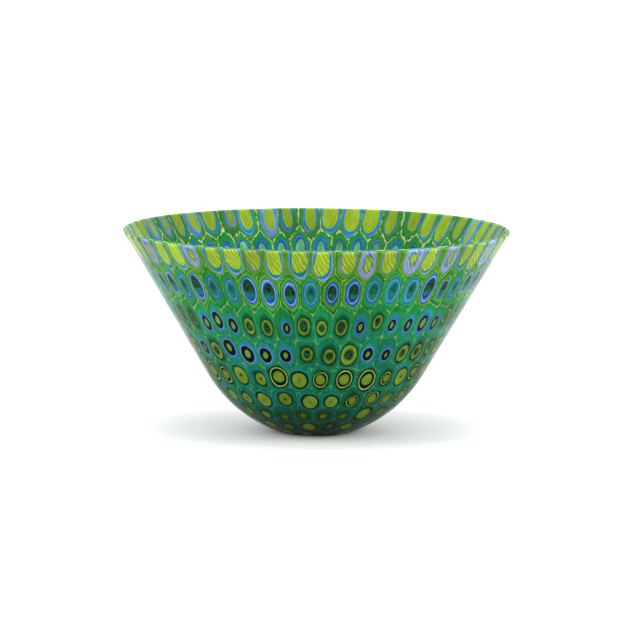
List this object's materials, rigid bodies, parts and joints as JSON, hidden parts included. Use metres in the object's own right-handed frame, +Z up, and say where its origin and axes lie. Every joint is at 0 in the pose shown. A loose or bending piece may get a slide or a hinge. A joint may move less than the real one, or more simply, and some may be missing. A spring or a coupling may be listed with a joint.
{
  "type": "art glass bowl",
  "caption": "Deep conical open bowl of fused murrine glass in green, teal and blue, with a ground flat base and a fire-polished lip.",
  "frame": {"origin": "centre of the ground flat that the bowl rests on", "axes": "+Z up along the bowl's axis; +X and +Y are alike, as the bowl is round"},
  "size_m": [0.26, 0.26, 0.137],
  "materials": {
    "dark_teal_casing": "polished, nearly opaque",
    "teal_casing": "polished, translucent",
    "green_casing": "polished, translucent, light green along the seams",
    "black_ring_glass": "polished, opaque",
    "blue_ring_glass": "polished, lavender to azure",
    "olive_core_glass": "polished, fine grained",
    "green_core_glass": "polished, transparent with wavy cords",
    "chartreuse_core_glass": "polished, ribbed"
  },
  "bodies": {
    "root": {"centre_jacket": "dark_teal_casing", "centre_collar": "black_ring_glass", "centre_core": "olive_core_glass", "base_inner_jackets": "dark_teal_casing", "base_inner_collars": "black_ring_glass", "base_inner_cores": "olive_core_glass", "base_outer_jackets": "dark_teal_casing", "base_outer_collars": "black_ring_glass", "base_outer_cores": "olive_core_glass", "foot_jackets": "dark_teal_casing", "foot_collars": "black_ring_glass", "foot_cores": "olive_core_glass", "belly_1_jackets": "dark_teal_casing", "belly_1_collars": "black_ring_glass", "belly_1_cores": "olive_core_glass", "belly_2_jackets": "teal_casing", "belly_2_collars": "black_ring_glass", "belly_2_cores": "olive_core_glass", "belly_3_jackets": "teal_casing", "belly_3_collars": "black_ring_glass", "belly_3_cores": "olive_core_glass", "wall_1_jackets": "teal_casing", "wall_1_collars": "blue_ring_glass", "wall_1_cores": "olive_core_glass", "wall_2_jackets": "green_casing", "wall_2_collars": "blue_ring_glass", "wall_2_cores": "green_core_glass", "wall_3_jackets": "green_casing", "wall_3_collars": "blue_ring_glass", "wall_3_cores": "green_core_glass", "rim_jackets": "green_casing", "rim_collars": "blue_ring_glass", "rim_cores": "chartreuse_core_glass"}
  },
  "joints": []
}
